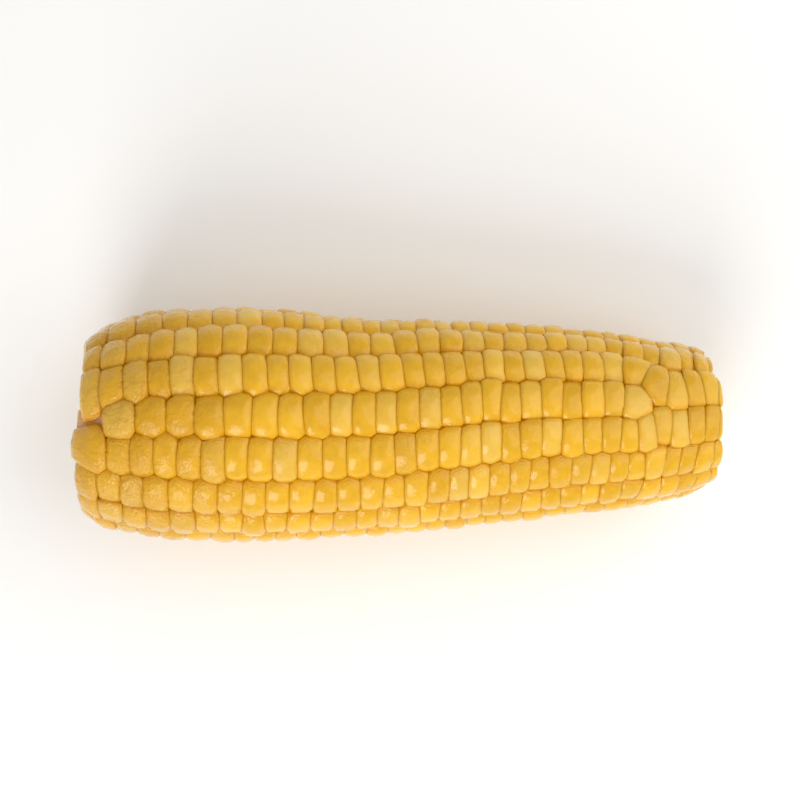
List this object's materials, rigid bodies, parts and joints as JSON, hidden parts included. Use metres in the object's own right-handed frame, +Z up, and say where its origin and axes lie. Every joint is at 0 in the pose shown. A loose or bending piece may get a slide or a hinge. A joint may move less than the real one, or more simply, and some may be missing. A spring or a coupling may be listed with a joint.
{
  "type": "corn cob",
  "caption": "Husked ear of sweet corn lying on its side, cut across at both ends, with rows of yellow kernels round a pale woody cob.",
  "frame": {"origin": "on the ground under the middle of the ear's box", "axes": "+X along the ear from the thick cut end to the slim one, +Z up from the ground it lies on"},
  "size_m": [0.1458, 0.0536, 0.0529],
  "materials": {
    "kernel_skin": "wet glossy skin of cooked sweet corn kernels, deeper orange in the valleys",
    "cob_wood": "damp pale cob tissue, matt, with a softer pith in the middle"
  },
  "bodies": {
    "root": {"kernels": "kernel_skin", "cob_core": "cob_wood"}
  },
  "joints": []
}
